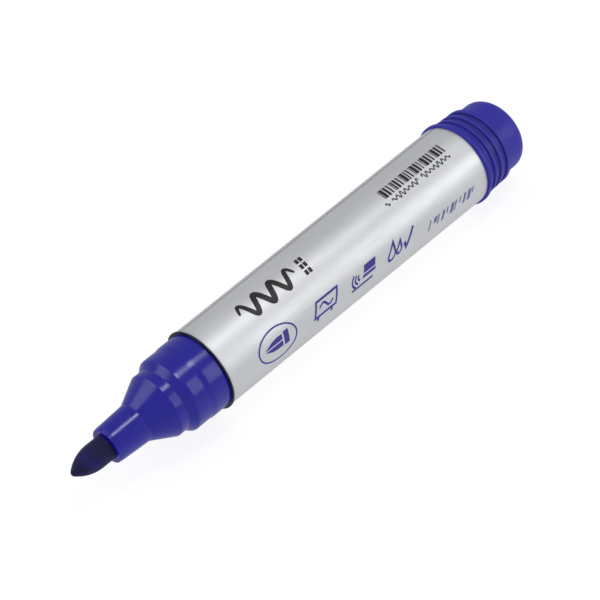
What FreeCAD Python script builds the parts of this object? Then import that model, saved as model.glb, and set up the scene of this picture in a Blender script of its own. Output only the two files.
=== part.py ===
# Felt tip whiteboard marker, shown without its cap.
#
# It lies along X with its writing end towards -X and +Z up. Every piece is turned about one axis,
# so each profile is drawn with x measured from the tip of the nib and r from the axis, and the
# bodies are then placed so that the widest flange touches z = 0 and x = 0 is half the length.
# Lengths are in millimetres.
import FreeCAD, Part
import math
import os
import Sketcher

SIZES = {
    # nib: a pressed fibre rod with a bullet point
    "nib_r": 2.74,
    "nib_nose_r": 0.8,
    "nib_point_x": 5.94,
    "nib_end_x": 38.0,
    "nib_end_bevel": 0.5,
    "nib_gap": 0.05,
    # front section: nozzle, cone, collar, cap seat, slope, band and the spigot that presses in
    "nozzle_x": 8.9,
    "nozzle_face_r": 3.83,
    "nozzle_rim_x": 9.75,
    "nozzle_rim_r": 3.98,
    "cone_x": 16.55,
    "cone_front_r": 4.35,
    "collar_x": 22.0,
    "collar_r": 7.22,
    "step_x": 24.05,
    "seat_x": 25.5,
    "seat_front_r": 8.4,
    "seat_r": 8.46,
    "seat_true_x": 26.1,
    "slope_x": 29.05,
    "band_x": 30.15,
    "band_r": 8.63,
    "barrel_x": 34.05,
    "spigot_end_x": 47.0,
    "press_gap": 0.02,
    "cavity_x": 27.0,
    "cavity_r": 6.6,
    # barrel: thin tube with a dark lip in front of the label
    "lip_r": 9.25,
    "lip_length": 0.35,
    "barrel_end_x": 113.2,
    "barrel_front_r": 8.87,
    "barrel_rear_r": 9.53,
    "front_bore_r": 7.8,
    "rear_bore_r": 8.3,
    "front_bore_end_x": 49.0,
    "rear_bore_x": 99.0,
    "rib_x": 50.0,
    "rib_end_x": 98.0,
    "rib_width": 0.9,
    "rib_root": 0.2,
    # label: metallised film wrapped round the barrel, its ends meeting in a seam
    "label_thick": 0.12,
    "label_gap": 0.01,
    "seam_angle": 2.4,
    # reservoir: fibre core in a thin film
    "core_x": 28.0,
    "core_end_x": 110.0,
    "core_r": 6.25,
    "film_thick": 0.15,
    "core_guide_gap": 0.15,
    "socket_gap": 0.1,
    # tail plug: spigot, flange, two grip ribs between three grooves, and the post for the cap
    "plug_spigot_x": 101.0,
    "plug_spigot_wall": 1.2,
    "plug_gap": 0.05,
    "plug_lead_in": 0.5,
    "flange_x": 113.23,
    "flange_r": 10.2,
    "flange_back_x": 114.15,
    "flange_slope_r": 9.75,
    "groove_width": 1.15,
    "groove_depth": 0.4,
    "groove_one_x": 114.85,
    "groove_two_x": 117.0,
    "groove_three_x": 119.3,
    "rib_one_r": 9.72,
    "rib_two_r": 9.62,
    "rib_three_r": 9.54,
    "post_x": 121.85,
    "post_r": 8.69,
    "tail_x": 128.7,
    "tail_wall": 1.6,
    "fin_x": 110.3,
    "fin_width": 0.9,
    "fin_inner_r": 2.0,
    "fin_root": 0.4,
    # rounded edges
    "tail_edge_r": 2.6,
    "flange_edge_r": 0.25,
    "soft_edge_r": 0.08,
    "grip_edge_r": 0.32,
    "post_edge_r": 0.4,
    "nozzle_edge_r": 0.12,
    "cone_blend_r": 0.6,
    "slope_blend_r": 1.6,
    "collar_edge_r": 0.3,
}
BARREL_RIBS = 6
PLUG_FINS = 4
SEAM_TURN = -37.0      # degrees round the axis, which brings the label's seam to the upper back
NEAR = 1e-4

doc = FreeCAD.newDocument("Marker")
sheet = doc.addObject("Spreadsheet::Sheet", "Sizes")
for row, (alias, value) in enumerate(SIZES.items(), start=1):
    sheet.set(f"A{row}", alias)
    sheet.set(f"B{row}", str(value))
    sheet.setAlias(f"B{row}", alias)
doc.recompute()


def amount(words):
    """The value of a sum of cells, such as 'core_r + film_thick', or of the plain word '0'."""
    total = 0.0
    sign = 1
    for word in words.split():
        if word in ("+", "-"):
            sign = 1 if word == "+" else -1
        elif word != "0":
            total += sign * SIZES[word]
    return total


def formula(words):
    """The same sum as an expression on the spreadsheet."""
    return " ".join(word if word in ("+", "-") else "Sizes." + word for word in words.split())


def new_body(label, turn=0.0):
    """A body on the marker's own axis, turned about it by an angle in degrees."""
    body = doc.addObject("PartDesign::Body", label)
    body.Label = label
    axis = FreeCAD.Rotation(FreeCAD.Vector(1, 0, 0), turn)
    body.Placement = FreeCAD.Placement(FreeCAD.Vector(0, 0, 0), axis)
    body.setExpression("Placement.Base.x", "-Sizes.tail_x / 2")
    body.setExpression("Placement.Base.z", "Sizes.flange_r")
    return body


def origin_plane(body, role):
    return next(item for item in body.Origin.OriginFeatures if item.Role == role)


def new_sketch(body, name, role):
    sketch = body.newObject("Sketcher::SketchObject", name)
    sketch.AttachmentSupport = [(origin_plane(body, role), "")]
    sketch.MapMode = "FlatFace"
    return sketch


def pin_point(sketch, geometry, end, across, up):
    """Hold one end of a line or arc at (across, up), both given as sums of cells."""
    for kind, words, own_axis in (("DistanceX", across, -2), ("DistanceY", up, -1)):
        if words == "0":
            sketch.addConstraint(Sketcher.Constraint("PointOnObject", geometry, end, own_axis))
            continue
        index = sketch.addConstraint(
            Sketcher.Constraint(kind, -1, 1, geometry, end, amount(words)))
        sketch.setExpression(f"Constraints[{index}]", formula(words))


def polygon(sketch, corners):
    """A closed outline through corners, each held by two sums of cells."""
    points = [FreeCAD.Vector(amount(across), amount(up), 0) for across, up in corners]
    for index, start in enumerate(points):
        stop = points[(index + 1) % len(points)]
        sketch.addGeometry(Part.LineSegment(start, stop), False)
    for index, (across, up) in enumerate(corners):
        sketch.addConstraint(Sketcher.Constraint(
            "Coincident", index, 2, (index + 1) % len(corners), 1))
        pin_point(sketch, index, 1, across, up)


def revolve(body, sketch, name):
    turn = body.newObject("PartDesign::Revolution", name)
    turn.Profile = sketch
    turn.ReferenceAxis = (sketch, ["H_Axis"])
    turn.Angle = 360.0
    doc.recompute()
    return turn


def turned(label, corners, turn=0.0):
    """A body turned from one closed outline of (x, r) corners."""
    body = new_body(label, turn)
    sketch = new_sketch(body, label + "_profile", "XZ_Plane")
    polygon(sketch, corners)
    revolve(body, sketch, label + "_turned")
    return body


def round_edges(body, name, rims, radius_cell):
    """Round the circular edges that lie at the (x, r) rims."""
    base = body.Tip
    wanted = [(amount(across), amount(up)) for across, up in rims]
    names = []
    for number, edge in enumerate(base.Shape.Edges, start=1):
        if not isinstance(edge.Curve, Part.Circle):
            continue
        here = (edge.Curve.Center.x, edge.Curve.Radius)
        if any(math.dist(here, rim) < NEAR for rim in wanted):
            names.append(f"Edge{number}")
    assert len(names) == len(rims), (name, len(names), len(rims))
    fillet = body.newObject("PartDesign::Fillet", name)
    fillet.Base = (base, names)
    fillet.Radius = SIZES[radius_cell]
    fillet.setExpression("Radius", "Sizes." + radius_cell)
    doc.recompute()


def inner_ribs(body, name, start, end, low, high, width_cell, count):
    """Lengthwise ribs inside a tube, from x = start to x = end and from r = low to r = high."""
    sketch = new_sketch(body, name + "_outline", "YZ_Plane")
    sketch.setExpression("AttachmentOffset.Base.z", formula(start))
    half = SIZES[width_cell] / 2
    corners = [(-half, amount(low)), (half, amount(low)), (half, amount(high)), (-half, amount(high))]
    for index, corner in enumerate(corners):
        following = corners[(index + 1) % 4]
        sketch.addGeometry(Part.LineSegment(FreeCAD.Vector(*corner, 0),
                                            FreeCAD.Vector(*following, 0)), False)
    for index in range(4):
        sketch.addConstraint(Sketcher.Constraint("Coincident", index, 2, (index + 1) % 4, 1))
    sketch.addConstraint(Sketcher.Constraint("Symmetric", 0, 1, 0, 2, -2))
    for side in (1, 3):
        sketch.addConstraint(Sketcher.Constraint("Vertical", side))
    sketch.addConstraint(Sketcher.Constraint("Horizontal", 2))
    for words, geometry in ((low, 0), (high, 2)):
        index = sketch.addConstraint(
            Sketcher.Constraint("DistanceY", -1, 1, geometry, 1, amount(words)))
        sketch.setExpression(f"Constraints[{index}]", formula(words))
    index = sketch.addConstraint(Sketcher.Constraint("DistanceX", 0, 1, 0, 2, 2 * half))
    sketch.setExpression(f"Constraints[{index}]", "Sizes." + width_cell)
    pad = body.newObject("PartDesign::Pad", name)
    pad.Profile = sketch
    pad.Length = amount(end) - amount(start)
    pad.setExpression("Length", f"{formula(end)} - ({formula(start)})")
    doc.recompute()
    pattern = body.newObject("PartDesign::PolarPattern", name + "_pattern")
    pattern.Originals = [pad]
    pattern.Axis = (sketch, ["N_Axis"])
    pattern.Angle = 360.0
    pattern.Occurrences = count
    body.Tip = pattern
    doc.recompute()


def make_nib():
    """Fibre rod: a small round nose runs into a long bullet curve, tangent to the rod."""
    body = new_body("nib")
    sketch = new_sketch(body, "nib_profile", "XZ_Plane")
    rod, nose, point = SIZES["nib_r"], SIZES["nib_nose_r"], SIZES["nib_point_x"]
    bullet = ((point - nose) ** 2 + rod ** 2 - nose ** 2) / (2 * (rod - nose))
    lean = math.atan2(bullet - rod, point - nose)
    nose_centre = FreeCAD.Vector(nose, 0, 0)
    bullet_centre = FreeCAD.Vector(point, rod - bullet, 0)
    up = FreeCAD.Vector(0, 0, 1)
    nose_arc = Part.ArcOfCircle(Part.Circle(nose_centre, up, nose), math.pi - lean, math.pi)
    bullet_arc = Part.ArcOfCircle(Part.Circle(bullet_centre, up, bullet), math.pi / 2, math.pi - lean)
    corners = [
        ("nib_point_x", "nib_r"),
        ("nib_end_x - nib_end_bevel", "nib_r"),
        ("nib_end_x", "nib_r - nib_end_bevel"),
        ("nib_end_x", "0"),
        ("0", "0"),
    ]
    points = [FreeCAD.Vector(amount(across), amount(high), 0) for across, high in corners]
    for start, stop in zip(points, points[1:]):
        sketch.addGeometry(Part.LineSegment(start, stop), False)
    sketch.addGeometry(nose_arc, False)
    sketch.addGeometry(bullet_arc, False)
    nose_index, bullet_index = 4, 5
    for index in range(3):
        sketch.addConstraint(Sketcher.Constraint("Coincident", index, 2, index + 1, 1))
    sketch.addConstraint(Sketcher.Constraint("Coincident", 3, 2, nose_index, 2))
    sketch.addConstraint(Sketcher.Constraint("Tangent", nose_index, 1, bullet_index, 2))
    sketch.addConstraint(Sketcher.Constraint("Tangent", bullet_index, 1, 0, 1))
    for index in range(4):
        pin_point(sketch, index, 1, *corners[index])
    pin_point(sketch, 3, 2, *corners[4])
    sketch.addConstraint(Sketcher.Constraint("PointOnObject", nose_index, 3, -1))
    radius = sketch.addConstraint(Sketcher.Constraint("Radius", nose_index, nose))
    sketch.setExpression(f"Constraints[{radius}]", "Sizes.nib_nose_r")
    revolve(body, sketch, "nib_turned")
    return body


def make_front_section():
    """Nozzle, cone, collar, cap seat, the slope that the cap grips, band and hollow spigot."""
    body = turned("front_section", [
        ("nozzle_x", "nib_r + nib_gap"),
        ("nozzle_x", "nozzle_face_r"),
        ("nozzle_rim_x", "nozzle_rim_r"),
        ("cone_x", "cone_front_r"),
        ("collar_x", "collar_r"),
        ("step_x", "collar_r"),
        ("seat_x", "seat_front_r"),
        ("seat_true_x", "seat_r"),
        ("slope_x", "seat_r"),
        ("band_x", "band_r"),
        ("barrel_x", "band_r"),
        ("barrel_x", "front_bore_r - press_gap"),
        ("spigot_end_x", "front_bore_r - press_gap"),
        ("spigot_end_x", "cavity_r"),
        ("cavity_x", "cavity_r"),
        ("cavity_x", "nib_r + nib_gap"),
    ])
    round_edges(body, "nozzle_edges", [
        ("nozzle_x", "nozzle_face_r"),
        ("nozzle_rim_x", "nozzle_rim_r"),
    ], "nozzle_edge_r")
    round_edges(body, "cone_blend", [("cone_x", "cone_front_r")], "cone_blend_r")
    round_edges(body, "collar_edges", [
        ("collar_x", "collar_r"),
        ("step_x", "collar_r"),
        ("seat_x", "seat_front_r"),
    ], "collar_edge_r")
    round_edges(body, "slope_blend", [("slope_x", "seat_r"), ("band_x", "band_r")], "slope_blend_r")
    return body


def make_barrel():
    """Tapered tube with a proud front lip, two true seats and ribs that centre the reservoir."""
    body = turned("barrel", [
        ("barrel_x", "front_bore_r"),
        ("barrel_x", "lip_r"),
        ("barrel_x + lip_length", "lip_r"),
        ("barrel_x + lip_length", "barrel_front_r"),
        ("barrel_end_x", "barrel_rear_r"),
        ("barrel_end_x", "rear_bore_r"),
        ("rear_bore_x", "rear_bore_r"),
        ("front_bore_end_x", "front_bore_r"),
    ])
    round_edges(body, "lip_edges", [
        ("barrel_x", "lip_r"),
        ("barrel_x + lip_length", "lip_r"),
    ], "soft_edge_r")
    inner_ribs(body, "barrel_rib", "rib_x", "rib_end_x", "core_r + film_thick + core_guide_gap",
               "rear_bore_r + rib_root", "rib_width", BARREL_RIBS)
    return body


def make_label_sleeve():
    """Film wrapped nearly all the way round the barrel, from the lip to the plug's flange."""
    body = turned("label_sleeve", [
        ("barrel_x + lip_length", "barrel_front_r + label_gap"),
        ("barrel_x + lip_length", "barrel_front_r + label_gap + label_thick"),
        ("barrel_end_x", "barrel_rear_r + label_gap + label_thick"),
        ("barrel_end_x", "barrel_rear_r + label_gap"),
    ], SEAM_TURN)
    body.Tip.Angle = 360.0 - SIZES["seam_angle"]
    body.Tip.setExpression("Angle", "360 - Sizes.seam_angle")
    doc.recompute()
    return body


def make_ink_reservoir():
    """Fibre core, pierced at the front where the nib reaches into it."""
    return turned("ink_reservoir", [
        ("core_x", "nib_r + socket_gap"),
        ("core_x", "core_r"),
        ("core_end_x", "core_r"),
        ("core_end_x", "0"),
        ("nib_end_x + socket_gap", "0"),
        ("nib_end_x + socket_gap", "nib_r + socket_gap"),
    ])


def make_reservoir_film():
    """Thin tube that holds the fibres together."""
    return turned("reservoir_film", [
        ("core_x", "core_r"),
        ("core_x", "core_r + film_thick"),
        ("core_end_x", "core_r + film_thick"),
        ("core_end_x", "core_r"),
    ])


def make_tail_plug():
    """Hollow plug: spigot with a lead-in, flange, grip ribs between grooves, post, fins inside."""
    outside = [
        ("plug_spigot_x", "rear_bore_r - plug_gap - plug_spigot_wall"),
        ("plug_spigot_x", "rear_bore_r - plug_gap - plug_lead_in"),
        ("plug_spigot_x + plug_lead_in", "rear_bore_r - plug_gap"),
        ("flange_x", "rear_bore_r - plug_gap"),
        ("flange_x", "flange_r"),
        ("flange_back_x", "flange_r"),
        ("groove_one_x", "flange_slope_r"),
    ]
    grip = (("groove_one_x", "rib_one_r"), ("groove_two_x", "rib_two_r"),
            ("groove_three_x", "rib_three_r"))
    for place, radius in grip:
        outside += [
            (place, radius + " - groove_depth"),
            (place + " + groove_width", radius + " - groove_depth"),
            (place + " + groove_width", radius),
        ]
        if place != "groove_three_x":
            next_place, next_radius = grip[grip.index((place, radius)) + 1]
            outside.append((next_place, next_radius))
    outside += [
        ("post_x", "rib_three_r"),
        ("post_x", "post_r"),
        ("tail_x", "post_r"),
        ("tail_x", "0"),
        ("tail_x - tail_wall", "0"),
        ("tail_x - tail_wall", "rear_bore_r - plug_gap - plug_spigot_wall"),
    ]
    body = turned("tail_plug", outside)
    round_edges(body, "tail_edge", [("tail_x", "post_r")], "tail_edge_r")
    round_edges(body, "flange_edges", [
        ("flange_x", "flange_r"),
        ("flange_back_x", "flange_r"),
    ], "flange_edge_r")
    round_edges(body, "grip_edges", [
        ("groove_one_x", "flange_slope_r"),
        ("groove_one_x + groove_width", "rib_one_r"),
        ("groove_two_x", "rib_two_r"),
        ("groove_two_x + groove_width", "rib_two_r"),
        ("groove_three_x", "rib_three_r"),
        ("groove_three_x + groove_width", "rib_three_r"),
    ], "grip_edge_r")
    round_edges(body, "post_edges", [
        ("post_x", "rib_three_r"),
        ("post_x", "post_r"),
    ], "post_edge_r")
    inner_ribs(body, "plug_fin", "fin_x", "tail_x - tail_wall + fin_root", "fin_inner_r",
               "rear_bore_r - plug_gap - plug_spigot_wall + fin_root", "fin_width", PLUG_FINS)
    return body


pieces = [
    make_nib(),
    make_front_section(),
    make_barrel(),
    make_label_sleeve(),
    make_ink_reservoir(),
    make_reservoir_film(),
    make_tail_plug(),
]
doc.recompute()
for item in doc.Objects:
    assert not {"Invalid", "Error"} & set(item.State), (item.Name, item.State)
for piece in pieces:
    assert not piece.Shape.isNull() and piece.Shape.isValid(), piece.Label
    assert len(piece.Shape.Solids) == 1, (piece.Label, len(piece.Shape.Solids))

os.makedirs("parts", exist_ok=True)
for piece in pieces:
    piece.Shape.exportStep(f"parts/{piece.Label}.step")
    box = piece.Shape.BoundBox
    print(f"{piece.Label}: {piece.Shape.Volume:.1f} mm3, x {box.XMin:.2f} to {box.XMax:.2f},"
          f" z {box.ZMin:.2f} to {box.ZMax:.2f}")
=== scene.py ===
"""Felt tip marker: materials, printed signs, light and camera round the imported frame."""
import math

import bmesh
import bpy
from mathutils import Matrix, Vector


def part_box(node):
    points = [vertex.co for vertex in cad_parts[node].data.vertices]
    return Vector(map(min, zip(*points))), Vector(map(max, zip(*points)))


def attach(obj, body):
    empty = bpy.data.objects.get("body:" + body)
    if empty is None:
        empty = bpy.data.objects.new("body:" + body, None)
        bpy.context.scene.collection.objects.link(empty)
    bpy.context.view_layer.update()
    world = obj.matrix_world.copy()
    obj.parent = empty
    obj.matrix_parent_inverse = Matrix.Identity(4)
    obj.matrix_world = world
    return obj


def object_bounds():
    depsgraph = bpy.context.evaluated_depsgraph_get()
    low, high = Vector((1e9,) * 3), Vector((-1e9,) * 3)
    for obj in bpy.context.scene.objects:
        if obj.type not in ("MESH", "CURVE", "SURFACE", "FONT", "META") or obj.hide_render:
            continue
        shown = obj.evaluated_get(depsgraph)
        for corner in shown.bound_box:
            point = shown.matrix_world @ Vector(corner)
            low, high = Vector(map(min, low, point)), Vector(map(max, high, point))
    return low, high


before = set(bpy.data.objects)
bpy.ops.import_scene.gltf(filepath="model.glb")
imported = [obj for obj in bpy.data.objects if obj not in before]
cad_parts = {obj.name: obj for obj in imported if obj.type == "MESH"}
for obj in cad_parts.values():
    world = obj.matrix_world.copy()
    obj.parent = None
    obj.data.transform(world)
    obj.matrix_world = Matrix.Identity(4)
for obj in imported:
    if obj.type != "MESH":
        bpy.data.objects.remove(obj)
cad_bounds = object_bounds()

MM = 0.001
LOW, HIGH = cad_bounds
AXIS_Z = (LOW.z + HIGH.z) / 2
TIP = Vector((LOW.x, 0.0, AXIS_Z))
LABEL_LOW, LABEL_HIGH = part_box("label_sleeve")


def at(from_tip):
    """A place along the marker, in metres, from its distance behind the tip in millimetres."""
    return TIP.x + from_tip * MM


GROOVE_FLOOR, GROOVE_RIM = 9.22 * MM, 9.50 * MM      # radii of the grip grooves, from the axis
GRIP_END, POST_START = at(121.55), at(121.85)


# ---------------------------------------------------------------- label surface
END_SLICE = 0.01 * MM


def radius_at(end_x):
    """Outer radius of the label at one of its ends, read from its own mesh."""
    corners = [vert.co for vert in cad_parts["label_sleeve"].data.vertices]
    near = [co for co in corners if abs(co.x - end_x) < END_SLICE]
    return max(math.hypot(co.y, co.z - AXIS_Z) for co in near)


LABEL_FRONT_R = radius_at(LABEL_LOW.x)
LABEL_REAR_R = radius_at(LABEL_HIGH.x)


def on_label(x, turn, lift=0.0):
    """The point of the label at x and at an angle round the axis (0 is +Y, 90 is +Z, degrees)."""
    share = (x - LABEL_LOW.x) / (LABEL_HIGH.x - LABEL_LOW.x)
    radius = LABEL_FRONT_R + share * (LABEL_REAR_R - LABEL_FRONT_R) + lift
    angle = math.radians(turn)
    return Vector((x, radius * math.cos(angle), AXIS_Z + radius * math.sin(angle)))


# ---------------------------------------------------------------- material nodes
class Nodes:
    """A Principled material with short words for the nodes that feed it."""

    def __init__(self, name, colour, roughness, metallic=0.0):
        self.material = bpy.data.materials.new(name)
        self.material.use_nodes = True
        self.tree = self.material.node_tree
        self.shader = self.tree.nodes["Principled BSDF"]
        self.shader.inputs["Base Color"].default_value = (*colour, 1.0)
        self.shader.inputs["Roughness"].default_value = roughness
        self.shader.inputs["Metallic"].default_value = metallic
        self.place = self.add("ShaderNodeTexCoord").outputs["Object"]

    def add(self, kind, **settings):
        node = self.tree.nodes.new(kind)
        for key, value in settings.items():
            setattr(node, key, value)
        return node

    def link(self, output, socket):
        self.tree.links.new(output, socket)

    def set(self, **values):
        for key, value in values.items():
            self.shader.inputs[key.replace("_", " ")].default_value = value

    def stretched(self, scale):
        """Object coordinates multiplied by a scale along each axis."""
        mapping = self.add("ShaderNodeMapping")
        mapping.inputs["Scale"].default_value = scale
        self.link(self.place, mapping.inputs["Vector"])
        return mapping.outputs["Vector"]

    def noise(self, scale, detail=3.0, roughness=0.55, stretch=(1.0, 1.0, 1.0)):
        node = self.add("ShaderNodeTexNoise")
        node.inputs["Scale"].default_value = scale
        node.inputs["Detail"].default_value = detail
        node.inputs["Roughness"].default_value = roughness
        self.link(self.stretched(stretch), node.inputs["Vector"])
        return node.outputs["Fac"]

    def spread(self, value, low, high, from_low=0.3, from_high=0.7):
        """Map a value from one range to another, held inside the second."""
        node = self.add("ShaderNodeMapRange")
        for name, number in (("From Min", from_low), ("From Max", from_high),
                             ("To Min", low), ("To Max", high)):
            node.inputs[name].default_value = number
        self.link(value, node.inputs["Value"])
        return node.outputs["Result"]

    def ramp(self, value, stops):
        """Colours at positions 0 to 1 along a value."""
        node = self.add("ShaderNodeValToRGB")
        elements = node.color_ramp.elements
        for index, (position, colour) in enumerate(stops):
            element = elements[index] if index < 2 else elements.new(position)
            element.position = position
            element.color = (*colour, 1.0)
        self.link(value, node.inputs["Fac"])
        return node.outputs["Color"]

    def blend(self, share, colour, other):
        """Move a colour output towards a fixed colour by a share from 0 to 1."""
        mix = self.add("ShaderNodeMix", data_type="RGBA")
        colour_a, colour_b, colour_out = mix.inputs[6], mix.inputs[7], mix.outputs[2]
        self.link(share, mix.inputs["Factor"])
        self.link(colour, colour_a)
        colour_b.default_value = (*other, 1.0)
        return colour_out

    def maths(self, operation, first, second):
        """A math node fed by outputs or plain numbers."""
        node = self.add("ShaderNodeMath", operation=operation)
        for socket, item in zip(node.inputs, (first, second)):
            if isinstance(item, (int, float)):
                socket.default_value = item
            else:
                self.link(item, socket)
        return node.outputs["Value"]

    def along(self, axis):
        """Place along one axis of the part's frame."""
        node = self.add("ShaderNodeSeparateXYZ")
        self.link(self.place, node.inputs["Vector"])
        return node.outputs[axis]

    def from_axis(self):
        """Distance from the marker's axis."""
        height = self.maths("SUBTRACT", self.along("Z"), AXIS_Z)
        aside = self.along("Y")
        square = self.maths("ADD", self.maths("MULTIPLY", height, height),
                            self.maths("MULTIPLY", aside, aside))
        return self.maths("SQRT", square, 0.0)

    def bump(self, heights):
        """Chain bumps from (height, distance, strength)."""
        normal = None
        for height, distance, strength in heights:
            node = self.add("ShaderNodeBump")
            node.inputs["Distance"].default_value = distance
            node.inputs["Strength"].default_value = strength
            self.link(height, node.inputs["Height"])
            if normal is not None:
                self.link(normal, node.inputs["Normal"])
            normal = node.outputs["Normal"]
        self.link(normal, self.shader.inputs["Normal"])

    def colour(self, output):
        self.link(output, self.shader.inputs["Base Color"])

    def roughness(self, output):
        self.link(output, self.shader.inputs["Roughness"])


def scaled(colour, factor):
    """A colour made darker or lighter."""
    return tuple(channel * factor for channel in colour)


def mixed(first, second, share):
    """A colour part of the way from the first to the second."""
    return tuple(a + (b - a) * share for a, b in zip(first, second))


BLUE = (0.005, 0.0035, 0.33)
SATIN_BLUE = (0.020, 0.016, 0.37)
SATIN_PALE = (0.05, 0.045, 0.36)
# share of the plug's colour left at the groove floors: painted shade
PAINTED_GROOVE_SHADE = 0.65
INK = (0.003, 0.003, 0.009)
INK_BLUE = (0.017, 0.015, 0.19)
CORE_DARK = (0.012, 0.010, 0.08)
CORE_BLUE = (0.045, 0.035, 0.28)
TUBE_BASE = (0.005, 0.005, 0.014)
TUBE_DARK = (0.004, 0.004, 0.011)
TUBE_HAZE = (0.008, 0.007, 0.022)
WRAP_BASE = (0.62, 0.63, 0.72)
WRAP_WHITE = (0.66, 0.67, 0.78)
WRAP_TINT = (0.30, 0.29, 0.58)
WRAP_STAIN = (0.10, 0.09, 0.42)
SILVER = (0.80, 0.81, 0.83)
PRINT_BLACK = (0.012, 0.012, 0.014)
PRINT_BLUE = (0.045, 0.030, 0.32)
PRINT_GREY = (0.085, 0.085, 0.095)
PRINT_PALE = (0.16, 0.15, 0.36)


def gloss_moulding():
    """Polished moulded plastic with slow tint changes, faint flow marks and handling haze."""
    m = Nodes("front_gloss_blue", BLUE, 0.2)
    tint = m.noise(55.0, 2.0, stretch=(0.5, 1.0, 1.0))
    m.colour(m.ramp(tint, ((0.25, scaled(BLUE, 0.90)), (0.55, BLUE), (0.8, scaled(BLUE, 1.10)))))
    haze = m.noise(420.0, 5.0, 0.62)
    m.roughness(m.spread(haze, 0.12, 0.24))
    m.set(Specular_IOR_Level=0.6)
    flow = m.noise(160.0, 2.0, stretch=(0.35, 1.0, 1.0))
    grain = m.noise(5200.0, 2.0)
    m.bump(((flow, 0.08 * MM, 0.22), (grain, 0.006 * MM, 0.10)))
    return m.material


def satin_moulding():
    """Finely textured moulded plastic, with painted shade darkening the valleys between the grip
    ribs.
    """
    m = Nodes("plug_satin_blue", SATIN_BLUE, 0.4)
    tint = m.noise(48.0, 2.0)
    tone = m.ramp(tint, (
        (0.25, scaled(SATIN_BLUE, 0.91)),
        (0.55, SATIN_BLUE),
        (0.8, mixed(SATIN_BLUE, SATIN_PALE, 0.25)),
    ))
    # painted shade: the colour darkens towards the groove floors, ahead of the tail post
    valley = m.spread(m.from_axis(), 1.0, 0.0, GROOVE_FLOOR, GROOVE_RIM)
    grip = m.spread(m.along("X"), 1.0, 0.0, GRIP_END, POST_START)
    m.colour(m.blend(m.maths("MULTIPLY", valley, grip), tone, scaled(SATIN_BLUE, PAINTED_GROOVE_SHADE)))
    haze = m.noise(300.0, 5.0, 0.65)
    m.roughness(m.spread(haze, 0.34, 0.50))
    m.set(Specular_IOR_Level=0.45)
    spark = m.noise(4200.0, 2.0, 0.6)
    flow = m.noise(140.0, 2.0)
    m.bump(((flow, 0.08 * MM, 0.2), (spark, 0.012 * MM, 0.30)))
    return m.material


def dark_tube():
    """Near-black plastic with a hazy gloss."""
    m = Nodes("barrel_dark_plastic", TUBE_BASE, 0.28)
    haze = m.noise(600.0, 4.0)
    m.roughness(m.spread(haze, 0.22, 0.38))
    m.colour(m.ramp(haze, ((0.3, TUBE_DARK), (0.7, TUBE_HAZE))))
    m.bump(((m.noise(2600.0, 2.0), 0.008 * MM, 0.2),))
    return m.material


def foil_film():
    """Satin metallised film: fine grain, slow wobble where it follows the tube, darker near its
    ragged cut ends.
    """
    m = Nodes("label_satin_foil", SILVER, 0.42, 0.86)
    cloud = m.noise(90.0, 4.0, 0.6, stretch=(0.45, 1.0, 1.0))
    grain = m.noise(6500.0, 2.0, 0.7)
    tone = m.ramp(cloud, (
        (0.28, scaled(SILVER, 0.955)),
        (0.55, SILVER),
        (0.8, scaled(SILVER, 1.03)),
    ))
    x = m.along("X")
    front = m.maths("SUBTRACT", x, LABEL_LOW.x)
    rear = m.maths("SUBTRACT", LABEL_HIGH.x, x)
    from_end = m.maths("MINIMUM", front, rear)
    ragged = m.maths("ADD", from_end, m.spread(m.noise(900.0, 3.0), -0.12 * MM, 0.12 * MM))
    edge = m.spread(ragged, 1.0, 0.0, 0.15 * MM, 0.60 * MM)
    m.colour(m.blend(edge, tone, scaled(SILVER, 0.80)))
    rubbed = m.spread(m.noise(210.0, 6.0, 0.68, stretch=(0.25, 1.0, 1.0)), 0.40, 0.52)
    scratch = m.noise(1500.0, 1.0, 0.4, stretch=(0.05, 1.0, 1.0))
    lines = m.spread(scratch, 0.0, 0.10, 0.66, 0.72)
    m.roughness(m.maths("ADD", rubbed, lines))
    wobble = m.noise(65.0, 1.0, stretch=(0.6, 1.0, 1.0))
    m.bump(((wobble, 0.22 * MM, 0.22), (grain, 0.006 * MM, 0.28), (scratch, 0.006 * MM, 0.12)))
    return m.material


def felt_nib():
    """Pressed fibres along the nib, soaked nearly black, a little paler where they catch light."""
    m = Nodes("nib_inked_fibre", INK, 0.8)
    fibres = m.noise(2400.0, 4.0, 0.65, stretch=(0.10, 1.0, 1.0))
    blot = m.noise(420.0, 3.0)
    streaks = m.maths("ADD", m.maths("MULTIPLY", fibres, 0.65), m.maths("MULTIPLY", blot, 0.35))
    m.colour(m.ramp(streaks, ((0.34, INK), (0.52, mixed(INK, INK_BLUE, 0.35)), (0.70, INK_BLUE))))
    m.roughness(m.spread(fibres, 0.55, 0.85))
    m.set(Sheen_Weight=0.06, Sheen_Roughness=0.5, Specular_IOR_Level=0.25)
    m.bump(((fibres, 0.10 * MM, 0.55), (m.noise(7000.0, 2.0), 0.02 * MM, 0.35)))
    return m.material


def fibre_core():
    """Fibres that run along the reservoir, soaked with ink."""
    m = Nodes("reservoir_inked_fibre", INK_BLUE, 0.85)
    fibres = m.noise(1800.0, 4.0, 0.65, stretch=(0.06, 1.0, 1.0))
    m.colour(m.ramp(fibres, ((0.3, CORE_DARK), (0.7, CORE_BLUE))))
    m.set(Sheen_Weight=0.2)
    m.bump(((fibres, 0.15 * MM, 0.6),))
    return m.material


def core_wrap():
    """Thin white film, stained by the ink that soaks the fibres behind it."""
    m = Nodes("reservoir_stained_film", WRAP_BASE, 0.35)
    stain = m.noise(70.0, 4.0, 0.6, stretch=(0.35, 1.0, 1.0))
    m.colour(m.ramp(stain, ((0.30, WRAP_STAIN), (0.5, WRAP_TINT), (0.75, WRAP_WHITE))))
    m.roughness(m.spread(m.noise(500.0, 3.0), 0.28, 0.45))
    m.bump(((m.noise(260.0, 3.0, stretch=(0.2, 1.0, 1.0)), 0.10 * MM, 0.3),))
    return m.material


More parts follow.
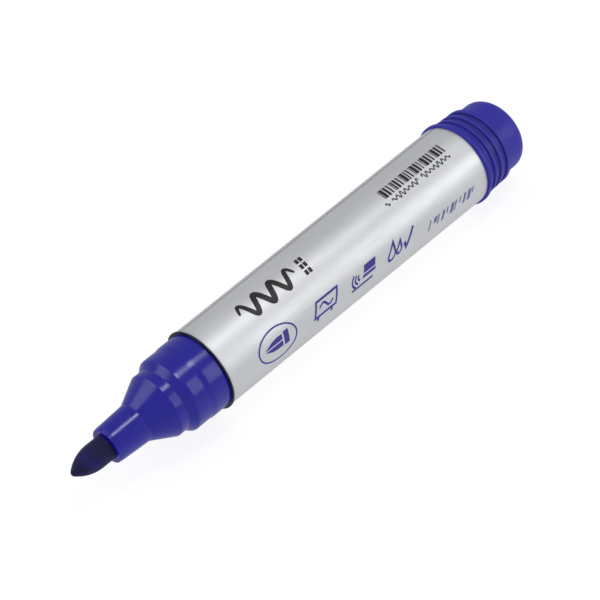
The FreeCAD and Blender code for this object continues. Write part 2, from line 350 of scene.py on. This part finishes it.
def print_ink(name, colour):
    """Screen-printed ink: slightly uneven cover with a soft gloss."""
    m = Nodes(name, colour, 0.38)
    cover = m.noise(2600.0, 3.0, 0.6)
    m.colour(m.ramp(cover, (
        (0.25, scaled(colour, 0.85)),
        (0.7, colour),
        (0.85, mixed(colour, SILVER, 0.10)),
    )))
    m.roughness(m.spread(cover, 0.30, 0.46))
    m.bump(((m.noise(5200.0, 2.0), 0.004 * MM, 0.3),))
    return m.material


def dress(node, material):
    """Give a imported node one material, whatever slots it came with."""
    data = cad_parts[node].data
    if not data.materials:
        data.materials.append(material)
    for index in range(len(data.materials)):
        data.materials[index] = material


dress("front_section", gloss_moulding())
dress("tail_plug", satin_moulding())
dress("barrel", dark_tube())
dress("label_sleeve", foil_film())
dress("nib", felt_nib())
dress("ink_reservoir", fibre_core())
dress("reservoir_film", core_wrap())


# ---------------------------------------------------------------- printed signs
# Each sign is drawn flat, in millimetres: across is along the marker from the sign's own centre
# (positive towards the tail), up is round it, towards the top of the sign. wrap() then lays it on
# the label as a thin closed layer of ink.
INK_THICK = 0.012 * MM
INK_LIFT = 0.004 * MM
FACET = 0.35            # longest step round the label, mm
WELD_GAP = 1e-4         # corners closer than this are joined, mm
CUT_GAP = 1e-5          # corners closer than this to a cut count as on it, mm
MITRE_LIMIT = 0.35      # smallest cosine used at a sharp corner of a stroke
BLACK_ROW = 99.0        # turns of the two main rows round the axis, degrees
BLUE_ROW = 159.0
SIGN_LEAN = 0.5


def bar(x_low, x_high, up_low, up_high):
    """A filled block."""
    return [(x_low, up_low), (x_high, up_low), (x_high, up_high), (x_low, up_high)]


def stroke(points, width, closed=False):
    """Quads along a path of points, mitred at its corners. width is a number, or one per point."""
    count = len(points)
    widths = [width] * count if isinstance(width, (int, float)) else width
    sides = []
    for index, point in enumerate(points):
        before = points[index - 1] if index or closed else point
        after = points[(index + 1) % count] if index < count - 1 or closed else point
        first = (Vector(point) - Vector(before)).normalized()
        second = (Vector(after) - Vector(point)).normalized()
        if not first.length:        # open paths have no segment before their first point
            first = second
        if not second.length:       # nor one after their last
            second = first
        way = (first + second).normalized()
        normal = Vector((-way.y, way.x))
        reach = widths[index] / 2 / max(MITRE_LIMIT, normal.dot(Vector((-first.y, first.x))))
        sides.append((Vector(point) + normal * reach, Vector(point) - normal * reach))
    last = count if closed else count - 1
    return [[tuple(sides[i][1]), tuple(sides[(i + 1) % count][1]),
             tuple(sides[(i + 1) % count][0]), tuple(sides[i][0])] for i in range(last)]


def arc(centre, radii, start, stop, steps=48):
    """Points on an ellipse between two angles in degrees."""
    angles = [math.radians(start + (stop - start) * i / steps) for i in range(steps + 1)]
    return [(centre[0] + radii[0] * math.cos(angle), centre[1] + radii[1] * math.sin(angle))
            for angle in angles]


def slanted(shapes, lean):
    """Shapes leaned along the marker by a share of their height."""
    return [[(across + up * lean, up) for across, up in shape] for shape in shapes]


def wrap(name, shapes, centre_x, centre_turn, material):
    """Lay flat shapes on the label round (x in metres, turn in degrees) and give them thickness."""
    mesh = bpy.data.meshes.new(name)
    work = bmesh.new()
    for shape in shapes:
        work.faces.new([work.verts.new((across, up, 0.0)) for across, up in shape])
    bmesh.ops.remove_doubles(work, verts=work.verts, dist=WELD_GAP)
    bmesh.ops.triangulate(work, faces=[f for f in work.faces if len(f.verts) > 4])
    ups = [v.co.y for v in work.verts]
    for step in range(math.floor(min(ups) / FACET) + 1, math.ceil(max(ups) / FACET)):
        bmesh.ops.bisect_plane(work, geom=work.verts[:] + work.edges[:] + work.faces[:],
                               plane_co=(0, step * FACET, 0), plane_no=(0, 1, 0), dist=CUT_GAP)
    middle = on_label(centre_x, 90.0).z - AXIS_Z
    for vert in work.verts:
        across, up, _ = vert.co
        turn = centre_turn - math.degrees(up * MM / middle)
        vert.co = on_label(centre_x + across * MM, turn, INK_LIFT)
    bmesh.ops.recalc_face_normals(work, faces=work.faces)
    work.to_mesh(mesh)
    work.free()
    for face in mesh.polygons:
        outward = Vector((0.0, face.center.y, face.center.z - AXIS_Z))
        if face.normal.dot(outward) < 0:
            face.flip()
    piece = bpy.data.objects.new(name, mesh)
    bpy.context.scene.collection.objects.link(piece)
    mesh.materials.append(material)
    solid = piece.modifiers.new("ink", "SOLIDIFY")
    solid.thickness = INK_THICK
    solid.offset = 1.0
    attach(piece, "barrel")


black = print_ink("print_black_ink", PRINT_BLACK)
blue = print_ink("print_blue_ink", PRINT_BLUE)
grey = print_ink("print_grey_ink", PRINT_GREY)
pale = print_ink("print_pale_ink", PRINT_PALE)


def wave_mark():
    """A bold ink line that swells like a pen stroke: the plain sign in place of a name."""
    length, height, waves, steps = 15.6, 1.95, 3.5, 120
    thin, swell = 0.35, 0.95
    points, widths = [], []
    for i in range(steps + 1):
        share = i / steps
        turn = 2 * math.pi * waves * share
        points.append((length * (share - 0.5), height * math.sin(turn)))
        widths.append(thin + swell * math.sin(math.pi * share) ** 0.4)
    wrap("print_wave_line", stroke(points, widths), at(52.2), BLACK_ROW, black)
    tiles = [bar(x, x + 0.78, up, up + 1.15) for x in (-0.9, 0.12) for up in (-2.2, -0.6, 1.0)]
    wrap("print_tiles", slanted(tiles, 0.1), at(62.6), BLACK_ROW, black)


def nib_sign():
    """A closed ring round a plain pen point with a slit and a band behind it."""
    ring = stroke(arc((0, 0), (5.2, 3.5), 0, 360, 72)[:-1], 0.36, closed=True)
    wrap("print_nib_ring", ring, at(47.7), 158.5, blue)
    upper = [(-3.3, 0.14), (-3.0, 0.36), (-1.3, 1.05), (0.2, 1.25), (1.5, 1.25), (1.5, 0.14)]
    lower = [(across, -up) for across, up in reversed(upper)]
    band = bar(1.95, 3.3, -1.45, 1.45)
    wrap("print_nib_sign", slanted([upper, lower, band], 0.15), at(47.5), 158.0, blue)


def board_sign():
    """A free curve drawn on a plain board that stands on two feet."""
    outline = stroke([(-3.1, -1.2), (3.1, -1.2), (3.1, 1.9), (-3.1, 1.9)], 0.5, closed=True)
    curve = [(-2.0 + 0.1 * i, 0.35 + 0.62 * math.sin(0.157 * i)) for i in range(41)]
    feet = [bar(-2.3, -1.7, -2.1, -1.4), bar(1.7, 2.3, -2.1, -1.4)]
    shapes = outline + stroke(curve, 0.42) + feet
    wrap("print_board_sign", slanted(shapes, SIGN_LEAN), at(61.7), BLUE_ROW, blue)


def wipe_sign():
    """A solid wiping block with curved sweeps behind it."""
    block = bar(0.2, 3.7, 0.15, 1.7)
    felt = bar(0.0, 3.9, -0.75, -0.15)
    ground = bar(-3.0, 3.4, -2.15, -1.7)
    shapes = [block, felt]
    for radius in (1.2, 2.1, 3.0):
        shapes += stroke(arc((0.2, 0.1), (radius + 0.5, radius * 0.7), 150, 232, 16), 0.42)
    shapes.append(ground)
    wrap("print_wipe_sign", slanted(shapes, SIGN_LEAN), at(72.9), BLUE_ROW, blue)


DROP_LOW = -0.85        # middle of a drop's round end


def drop_sign():
    """Two ink drops beside a tick."""
    shapes = []
    for across, size in ((-2.8, 1.05), (-0.5, 0.75)):
        drop = arc((across, DROP_LOW), (size, size), -215, 35, 28)
        drop.append((across, DROP_LOW + 2.4 * size))
        shapes += stroke(drop, 0.5, closed=True)
    shapes += stroke([(1.0, -0.2), (1.9, -1.5), (3.6, 1.7)], 0.65)
    wrap("print_drop_sign", slanted(shapes, SIGN_LEAN), at(84.9), BLUE_ROW, blue)


def dash_row():
    """A row of slanted strokes of two heights in place of a number."""
    narrow, medium, wide = 0.40, 0.72, 1.04
    rhythm = (narrow, wide, narrow, medium, narrow, wide, narrow, narrow, medium, wide, narrow)
    first, pitch = -7.6, 1.42
    dashes = []
    for index, width in enumerate(rhythm):
        start = first + pitch * index
        low = -0.2 if index % 3 == 1 else -1.0
        dashes.append(bar(start, start + width, low, 1.0))
    wrap("print_dashes", slanted(dashes, 0.6), at(101.2), 166.3, pale)


def bar_rows():
    """A plain pattern of bars of uneven width, over a small handwritten-looking squiggle."""
    bars = []
    across, half_height, count = -10.2, 1.35, 24
    for index in range(count):
        width = 0.20 + 0.20 * ((index * 7) % 4) * (1.0 if index % 5 else 0.4)
        bars.append(bar(across, across + width, -half_height, half_height))
        across += width + 0.16 + 0.14 * ((index * 5) % 4)
    wrap("print_bars", bars, at(98.2), 91.5, black)
    squiggle = []
    steps_a_wave = 14
    for start, length, waves in ((-10.6, 1.0, 1.0), (-8.6, 8.4, 6.5), (1.0, 9.0, 7.0)):
        points = []
        for i in range(round(waves * steps_a_wave) + 1):
            share = i / (waves * steps_a_wave)
            height = 0.48 + 0.16 * math.sin(11.0 * share + start)
            turn = 2 * math.pi * waves * share
            points.append((start + length * share, height * math.sin(turn)))
        squiggle += stroke(points, 0.32)
    wrap("print_squiggle", squiggle, at(97.4), 106.8, grey)


wave_mark()
nib_sign()
board_sign()
wipe_sign()
drop_sign()
dash_row()
bar_rows()


# ---------------------------------------------------------------- floor, light and camera
FLOOR_REACH = 3.0
PAPER = (0.20, 0.20, 0.203)
PAPER_GLOW = 0.87

ROOM_TINT = (0.98, 0.985, 1.0)
ROOM = 0.46                              # strength of the even room light
LOW_GLOW = 0.20                          # added at the middle of the low patch
LOW_SIDE = Vector((0.5, -0.71, -0.5))    # towards that patch
LOW_FOCUS = 3.0                          # how quickly it fades away from its middle

# name, turn round the axis (degrees), distance from it, place along it, (length, width), watts
LAMPS = (
    ("softbox", 143, 1.1, 0.87, (0.92, 0.78), 3.15),
    ("overhead_strip", 92, 0.75, 0.14, (0.32, 0.16), 1.0),
    ("back_softbox", 47, 0.9, -0.15, (0.40, 0.84), 0.5),
    ("front_fill", 49, 0.9, -0.70, (0.70, 0.80), 2.2),
)

EYE_FROM_TIP = Vector((-101.334, -151.827, 251.281)) * MM
VIEW_TURN = math.radians(-47.30)
VIEW_HEIGHT = math.radians(48.65)
LENS, SENSOR = 97.84, 36.0
CLIP_NEAR, CLIP_FAR = 0.01, 20.0


def floor():
    """Pale matt paper that glows a little, so that it reads as white."""
    mesh = bpy.data.meshes.new("floor")
    near, far = -FLOOR_REACH, FLOOR_REACH
    mesh.from_pydata([(near, near, 0), (far, near, 0), (far, far, 0), (near, far, 0)],
                     [], [(0, 1, 2, 3)])
    plane = bpy.data.objects.new("floor", mesh)
    bpy.context.scene.collection.objects.link(plane)
    m = Nodes("floor_pale_matt", PAPER, 0.9)
    m.set(Specular_IOR_Level=0.1, Emission_Color=(1.0, 1.0, 1.0, 1.0), Emission_Strength=PAPER_GLOW)
    mesh.materials.append(m.material)
    plane.visible_glossy = False      # the studio, not the paper, shows in the glossy pieces


def around(turn, distance, along):
    """A point at an angle round the marker's axis (0 is +Y, 90 is +Z)."""
    angle = math.radians(turn)
    return Vector((along, distance * math.cos(angle), AXIS_Z + distance * math.sin(angle)))


def area_light(name, centre, size, power):
    """A flat lamp, its long side along the marker, facing the marker's axis."""
    data = bpy.data.lights.new(name, "AREA")
    data.shape = "RECTANGLE"
    data.size, data.size_y = size
    data.energy = power
    light = bpy.data.objects.new(name, data)
    light.location = centre
    out = Vector((0.0, centre.y, centre.z - AXIS_Z)).normalized()
    along = Vector((1.0, 0.0, 0.0))
    light.rotation_mode = "QUATERNION"
    light.rotation_quaternion = Matrix((along, out.cross(along), out)).transposed().to_quaternion()
    bpy.context.scene.collection.objects.link(light)


def studio_world():
    """An even grey room with a brighter patch low on the viewer's side.

    The patch lies below the floor, so only reflections, which pass the floor, can see it."""
    world = bpy.data.worlds.new("studio")
    world.use_nodes = True
    tree = world.node_tree
    room = tree.nodes["Background"]
    room.inputs["Color"].default_value = (*ROOM_TINT, 1.0)
    way = tree.nodes.new("ShaderNodeTexCoord").outputs["Generated"]
    patch = tree.nodes.new("ShaderNodeVectorMath")
    patch.operation = "DOT_PRODUCT"
    patch.inputs[1].default_value = LOW_SIDE.normalized()
    tree.links.new(way, patch.inputs[0])
    value = patch.outputs["Value"]
    for operation, number in (("MAXIMUM", 0.0), ("POWER", LOW_FOCUS),
                              ("MULTIPLY", LOW_GLOW), ("ADD", ROOM)):
        step = tree.nodes.new("ShaderNodeMath")
        step.operation = operation
        step.inputs[1].default_value = number
        tree.links.new(value, step.inputs[0])
        value = step.outputs["Value"]
    tree.links.new(value, room.inputs["Strength"])
    bpy.context.scene.world = world


def camera():
    """A long lens above the writing end, looking back along the marker with no roll."""
    data = bpy.data.cameras.new("camera")
    data.sensor_width = SENSOR
    data.lens = LENS
    data.clip_start, data.clip_end = CLIP_NEAR, CLIP_FAR
    eye = bpy.data.objects.new("camera", data)
    eye.location = TIP + EYE_FROM_TIP
    level = math.cos(VIEW_HEIGHT)
    right = Vector((math.cos(VIEW_TURN), math.sin(VIEW_TURN), 0.0))
    back = Vector((math.sin(VIEW_TURN) * level, -math.cos(VIEW_TURN) * level,
                   math.sin(VIEW_HEIGHT)))
    up = back.cross(right)
    eye.rotation_mode = "QUATERNION"
    eye.rotation_quaternion = Matrix((right, up, back)).transposed().to_quaternion()
    bpy.context.scene.collection.objects.link(eye)
    bpy.context.scene.camera = eye


floor()
studio_world()
for lamp, turn, distance, along, size, power in LAMPS:
    area_light(lamp, around(turn, distance, along), size, power)
camera()
bpy.context.scene.view_settings.view_transform = "Standard"
